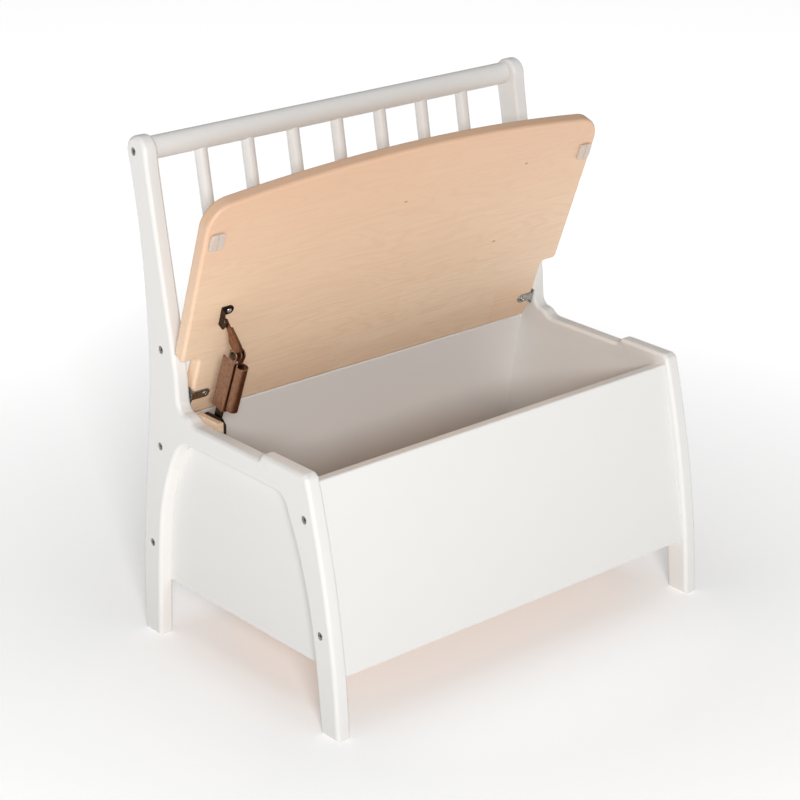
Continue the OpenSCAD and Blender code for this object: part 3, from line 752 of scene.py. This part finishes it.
# (X, U) of the screws up into the lid, and (U, height) of those into its ends
HINGE_SCREW = (259, 4)
STAY_SCREW = (-249.5, 122)
END_SCREW = (9, -4)
BRACKET_T = 2
under_bracket = LID_UNDER - BRACKET_T
up_screws = gathered(screw_mesh(UP_SCREW_L),
                     [Matrix.Translation((side * HINGE_SCREW[0], -HINGE_SCREW[1], under_bracket)) @ HEAD_DOWN
                      for side in (-1, 1)])
end_place = along_x(TAIL_HALF_W + BRACKET_T, -END_SCREW[0], END_SCREW[1])
end_screws = gathered(screw_mesh(14, 2.7, 0.7, 1.5),
                      [Matrix.Scale(side, 4, (1, 0, 0)) @ end_place for side in (-1, 1)])
mesh = bpy.data.meshes.new("screws")
end_screws.to_mesh(mesh)
end_screws.free()
up_screws.from_mesh(mesh)
bpy.data.meshes.remove(mesh)
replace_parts(finish_mesh(up_screws, "seen_hinge_screws", ON_LID, "lid", ZINC), "hinge_screws")
stay_screw = gathered(screw_mesh(UP_SCREW_L),
                      [Matrix.Translation((STAY_SCREW[0], -STAY_SCREW[1], under_bracket)) @ HEAD_DOWN])
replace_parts(finish_mesh(stay_screw, "seen_stay_lid_screw", ON_LID, "lid", ZINC), "stay_lid_screw")

# ---- bumpers and hinge brackets ----

BUMPER_P = (290, 227)
BUMPER_SIZE = (20, 22)
BUMPER_T = 3.7
SLIT_W = 1.5
for side, name in ((-1, "left_bumper"), (1, "right_bumper")):
    half = Vector(BUMPER_SIZE) / 2
    x, u = side * BUMPER_P[0], BUMPER_P[1]
    outline = rounded([(x - half.x, u - half.y), (x + half.x, u - half.y), (x + half.x, u + half.y),
                       (x - half.x, u + half.y)], [5] * 4, 8)
    face = LID_UNDER - BUMPER_T
    bm = slab_mesh(outline, face, LID_UNDER, 1.1, steps=5, to=FLAT)
    slit = box_mesh((x - SLIT_W / 2, -u - half.y - 1, face - 1), (x + SLIT_W / 2, -u + half.y + 1, face + 1))
    bumper = finish_mesh(carve(bm, [slit]), "seen_" + name, ON_LID, "lid", SOFT)
    even_normals(bumper)
    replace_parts(bumper, name)

for side, name in ((-1, "left_hinge_bracket"), (1, "right_hinge_bracket")):
    mirror = Matrix.Scale(side, 4, (1, 0, 0))
    tab_x = TAIL_HALF_W + BRACKET_T
    plate = rounded([(HINGE_SCREW[0] - 7, -2), (tab_x, -2), (tab_x, 10), (HINGE_SCREW[0] - 7, 10)],
                    [5.9, 0, 0, 5.9], 10)
    tab = [(-13, under_bracket), (7, under_bracket)] + arc((0, 0), 7, 0, 130, 20) + [(-13, -3)]
    bm = merged([slab_mesh(plate, under_bracket, LID_UNDER, 0.35, steps=3, to=mirror @ FLAT),
                 slab_mesh(tab, TAIL_HALF_W, tab_x, 0.35, steps=3, to=mirror @ SIDEWAYS)])
    bracket = finish_mesh(bm, "seen_" + name, ON_LID, "lid", ZINC)
    even_normals(bracket)
    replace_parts(bracket, name)

# ---- lid stay ----

STAY_X = -263
HOUSING_X0 = node_box("stay_housing")[0].x
HOUSING_X1 = -256.5
WALL = 1.5
lid_rivet = sum(node_box("stay_lid_rivet"), Vector()) / 2
arm_way = Vector((0, lid_rivet.y - KNEE.y, lid_rivet.z - KNEE.z))
stay_way = Vector((0, KNEE.y - FOOT.y, KNEE.z - FOOT.z))
STAY_LEN = stay_way.length
ARM_LEN = arm_way.length


def turned_to(way):
    """The turn about X that brings +Y onto a direction."""
    return Matrix.Rotation(math.atan2(way.z, way.y), 4, "X")


IN_HOUSING = Matrix.Translation((0, FOOT.y, FOOT.z)) @ turned_to(stay_way)
# Sketch x, y and height become X, the way towards the front and the way up the housing
SECTION = Matrix(((1, 0, 0, 0), (0, 0, 1, 0), (0, 1, 0, 0), (0, 0, 0, 1)))
CHANNEL = (25, 96)
FRONT_WALL = 3.5
REAR_EDGE = -16
TUBE_C = 12.5
TUBE_R = 7
TUBE_BORE = 5.8
TUBE = (33, 97)


def strip(path, thickness):
    """The outline of a bent sheet that is drawn by its middle line."""
    path = [Vector(p) for p in path]
    left, right = [], []
    for i, b in enumerate(path):
        a, c = path[max(i - 1, 0)], path[min(i + 1, len(path) - 1)]
        way = ((b - a).normalized() + (c - b).normalized()).normalized()
        side = Vector((-way.y, way.x)) * thickness / 2
        left.append(b + side)
        right.append(b - side)
    return left + right[::-1]


# One bent sheet: the wide side wall, a bend and the front wall
wall_x = HOUSING_X0 + WALL / 2
front_b = FRONT_WALL + WALL / 2
sheet_path = ([(wall_x, REAR_EDGE)] + arc((wall_x + 2.2, front_b - 2.2), 2.2, 180, 90, 6)
              + [(HOUSING_X1, front_b)])
tube_mid = (TUBE_R + TUBE_BORE) / 2
tube_path = arc((STAY_X, TUBE_C), tube_mid, -120, 204, 36)
outer_ear = ([(CHANNEL[1] - 6, -7)] + arc((STAY_LEN, 0), 8, -62, 62, 20)
             + [(CHANNEL[1] - 6, FRONT_WALL + WALL)])
inner_ear = ([(CHANNEL[1] - 5, -2)] + arc((STAY_LEN, 0), 7.5, -62, 80, 20)
             + [(CHANNEL[1] - 5, FRONT_WALL + 1)])
# A web joins the tube to the front wall, and two ears at the upper end hold the knee rivet
housing = merged([
    slab_mesh(strip(sheet_path, WALL), CHANNEL[0], CHANNEL[1], 0.35, steps=3, to=SECTION),
    slab_mesh(strip(tube_path, TUBE_R - TUBE_BORE), TUBE[0], TUBE[1], 0.3, steps=3, to=SECTION),
    box_mesh((STAY_X - 2.5, TUBE[0] + 1, FRONT_WALL + 0.5),
             (STAY_X + 2.5, TUBE[1] - 2, TUBE_C - TUBE_BORE - 0.4)),
    slab_mesh(outer_ear, HOUSING_X0, HOUSING_X0 + WALL, 0.35, steps=3, to=SIDEWAYS),
    slab_mesh(inner_ear, HOUSING_X1 - WALL, HOUSING_X1, 0.35, steps=3, to=SIDEWAYS),
])
housing = finish_mesh(housing, "seen_stay_housing", IN_HOUSING, "stay_housing", COPPER)
even_normals(housing)
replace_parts(housing, "stay_housing")

TONGUE_X0 = HOUSING_X0 + WALL
TONGUE_T = 2.5
tongue_sketch = arc((0, 0), 9, 158, 270, 24) + [(60, -9), (60, 3.4)]
tongue = slab_mesh(tongue_sketch, TONGUE_X0 + 0.02, TONGUE_X0 + TONGUE_T, 0.4, steps=3, to=SIDEWAYS)
tongue = finish_mesh(tongue, "seen_stay_tongue", IN_HOUSING, "stay_housing", DARK_STEEL)
even_normals(tongue)
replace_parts(tongue, "stay_tongue")

ARM_T = 2
ARM_SIDEWAYS = 6
ARM_END_R = 3.6
FLANGE_W = 4.4
FLANGE_T = 0.9
at_knee = (Matrix.Translation(KNEE) @ turned_to(arm_way)
           @ Matrix.Rotation(-math.asin(ARM_SIDEWAYS / ARM_LEN), 4, "Z"))
ARM_KNEE_R = 7.8
arm_front = curve([(1, ARM_KNEE_R), (8, 8), (15, 7.2), (28, 5.2), (ARM_LEN - 1, ARM_END_R)], 6)
arm_rear = curve([(ARM_LEN - 2, -ARM_END_R), (32, -3.2), (26.5, -4.8), (20.5, -8.4), (14, -7.8), (8, -6),
                  (3, -7.2)], 6)
arm_end = arc((ARM_LEN, 0), ARM_END_R, 80, -80, 12)
arm_knee = arc((0, 0), ARM_KNEE_R, -75, -262, 24)
fold = strip([p - Vector((0, FLANGE_T / 2)) for p in arm_front[:-4]], FLANGE_T)
arm = merged([
    slab_mesh(arm_front + arm_end + arm_rear + arm_knee, -ARM_T / 2, ARM_T / 2, 0.35, steps=3, to=SIDEWAYS),
    slab_mesh(fold, -ARM_T / 2 + 0.3, FLANGE_W - ARM_T / 2, 0.3, steps=2, to=SIDEWAYS),
])
arm = finish_mesh(arm, "seen_stay_arm", at_knee, "stay_arm", COPPER)
even_normals(arm)
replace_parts(arm, "stay_arm")

flange_x = node_box("stay_lid_rivet")[0].x + 1.2
rivet_on_lid = ON_LID.inverted() @ lid_rivet
tab = rounded([(flange_x, 117), (STAY_SCREW[0] + 6.5, 117), (STAY_SCREW[0] + 6.5, 128.5), (flange_x, 128.5)],
              [0.5, 5.6, 5.6, 0.5], 10)
flange = ([(-126, LID_UNDER - 0.4), (-125, rivet_on_lid.z + 1)]
          + arc((rivet_on_lid.y, rivet_on_lid.z), 6, 200, 300, 14)
          + arc((rivet_on_lid.y + 4.5, rivet_on_lid.z), 5, 320, 360, 6)
          + [(rivet_on_lid.y + 8, LID_UNDER - 0.4)])
bracket = merged([slab_mesh(tab, under_bracket, LID_UNDER - 0.02, 0.4, steps=3, to=FLAT),
                  slab_mesh(flange, flange_x, flange_x + 1.5, 0.35, steps=3, to=SIDEWAYS)])
bracket = finish_mesh(bracket, "seen_stay_lid_bracket", ON_LID, "lid", DARK_STEEL)
even_normals(bracket)
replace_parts(bracket, "stay_lid_bracket")


def make_rivet(name, node, profile, centre, body):
    """A rivet along X. The profile is a list of (radius, X)."""
    place = along_x(0, centre.y, centre.z)
    rivet = finish_mesh(turned_mesh(profile, 40), name, place, body, DARK_STEEL)
    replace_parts(rivet, node)


make_rivet("seen_knee_rivet", "stay_knee_rivet",
           [(0, HOUSING_X0 - 1.4), (3.6, HOUSING_X0 - 1.3), (4.9, HOUSING_X0 - 0.8), (5.2, HOUSING_X0 - 0.02),
            (2.5, HOUSING_X0), (2.5, HOUSING_X1), (4.5, HOUSING_X1 + 0.02), (4.2, HOUSING_X1 + 0.8),
            (3, HOUSING_X1 + 1.3), (0, HOUSING_X1 + 1.4)], KNEE, "stay_housing")
make_rivet("seen_lid_rivet", "stay_lid_rivet",
           [(0, flange_x - 1.2), (2.4, flange_x - 1.1), (3.6, flange_x - 0.6), (4, flange_x - 0.02),
            (2.2, flange_x), (2.2, flange_x + 1.5), (0, flange_x + 1.5)], lid_rivet, "lid")
foot_low, foot_high = node_box("stay_foot")
make_rivet("seen_foot_rivet", "stay_foot_rivet",
           [(0, foot_low.x), (3, foot_low.x), (3, foot_high.x), (6, foot_high.x + 0.02), (6, TONGUE_X0 - 0.1),
            (3, TONGUE_X0 - 0.1), (3, STAY_X - 2.4), (5.5, STAY_X - 2.38), (5.2, STAY_X - 1.4),
            (4, STAY_X - 1.05), (0, STAY_X - 1)], FOOT, "bench")

SHOULDER_Z = 307
foot_plate = rounded([(foot_low.y, foot_low.z), (foot_high.y, foot_low.z), (foot_high.y, SHOULDER_Z),
                      (85, foot_high.z), (55, foot_high.z), (foot_low.y, SHOULDER_Z)], [3, 3, 3, 5, 5, 3])
plate = finish_mesh(slab_mesh(foot_plate, foot_low.x, foot_high.x, 0.35, steps=3, to=SIDEWAYS),
                    "seen_stay_foot", NO_TURN, "bench", DARK_STEEL)
even_normals(plate)
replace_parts(plate, "stay_foot")
FOOT_SCREWS = [(60, 290), (84, 290)]
foot_screws = gathered(screw_mesh(21), [along_x(foot_high.x, y, z) for y, z in FOOT_SCREWS])
foot_screws = finish_mesh(foot_screws, "seen_stay_foot_screws", NO_TURN, "bench", ZINC)
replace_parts(foot_screws, "stay_foot_screws")

block = finish_mesh(box_mesh(*node_box("stay_block"), 0.9), "seen_stay_block", NO_TURN, "bench",
                    BLOCK_WOOD)
even_normals(block)
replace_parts(block, "stay_block")

# ---- stage ----

# The floor glows a little, more so away from the bench: (distance in metres, strength)
GLOW_NEAR = (0.4, 0.26)
GLOW_FAR = (1.4, 0.75)
bm = bmesh.new()
bmesh.ops.create_grid(bm, x_segments=2, y_segments=2, size=9.0)
floor_mesh = bpy.data.meshes.new("floor")
bm.to_mesh(floor_mesh)
bm.free()
floor = bpy.data.objects.new("floor", floor_mesh)
bpy.context.scene.collection.objects.link(floor)
paper = Shader("pale floor")
spread = paper.node("ShaderNodeVectorMath", {0: paper.node("ShaderNodeTexCoord").outputs["Object"]},
                    operation="LENGTH").outputs["Value"]
glow = paper.ramp(spread, GLOW_NEAR[0], GLOW_FAR[0], GLOW_NEAR[1], GLOW_FAR[1])
floor.data.materials.append(paper.look(Base_Color=(0.93, 0.93, 0.93, 1), Roughness=0.8,
                                       Specular_IOR_Level=0.1, Emission_Color=(1, 1, 1, 1),
                                       Emission_Strength=glow))

SURROUND = 0.16
world = bpy.data.worlds.new("studio")
world.use_nodes = True
world.node_tree.nodes["Background"].inputs["Color"].default_value = (1, 1, 1, 1)
world.node_tree.nodes["Background"].inputs["Strength"].default_value = SURROUND
bpy.context.scene.world = world

AIM = (0, 0, 0.3)


def soft_light(name, place, size, power):
    """A square area light that looks at the bench."""
    data = bpy.data.lights.new(name, "AREA")
    data.size = size
    data.energy = power
    lamp = bpy.data.objects.new(name, data)
    bpy.context.scene.collection.objects.link(lamp)
    lamp.location = place
    lamp.rotation_euler = (Vector(AIM) - Vector(place)).to_track_quat("-Z", "Y").to_euler()


soft_light("key", (-2.75, -3.75, 2.1), 1.0, 150)
soft_light("overhead", (0, 0.2, 3.2), 2.4, 20)

camera_data = bpy.data.cameras.new("camera")
camera_data.sensor_width = 36
camera_data.lens = 104.8
camera = bpy.data.objects.new("camera", camera_data)
bpy.context.scene.collection.objects.link(camera)
CAMERA_TURN = math.radians(-41.25)
CAMERA_RISE = math.radians(21.99)
CAMERA_ROLL = math.radians(0.46)
CAMERA_PLACE = (-1.7662, -1.9629, 1.3494)
back = Vector((math.sin(CAMERA_TURN) * math.cos(CAMERA_RISE),
               -math.cos(CAMERA_TURN) * math.cos(CAMERA_RISE), math.sin(CAMERA_RISE)))
level = Vector((0, 0, 1)).cross(back).normalized()
camera.matrix_world = (Matrix.Translation(CAMERA_PLACE)
                       @ Matrix((level, back.cross(level), back)).transposed().to_4x4()
                       @ Matrix.Rotation(CAMERA_ROLL, 4, "Z"))
bpy.context.scene.camera = camera
bpy.context.scene.view_settings.view_transform = "Standard"
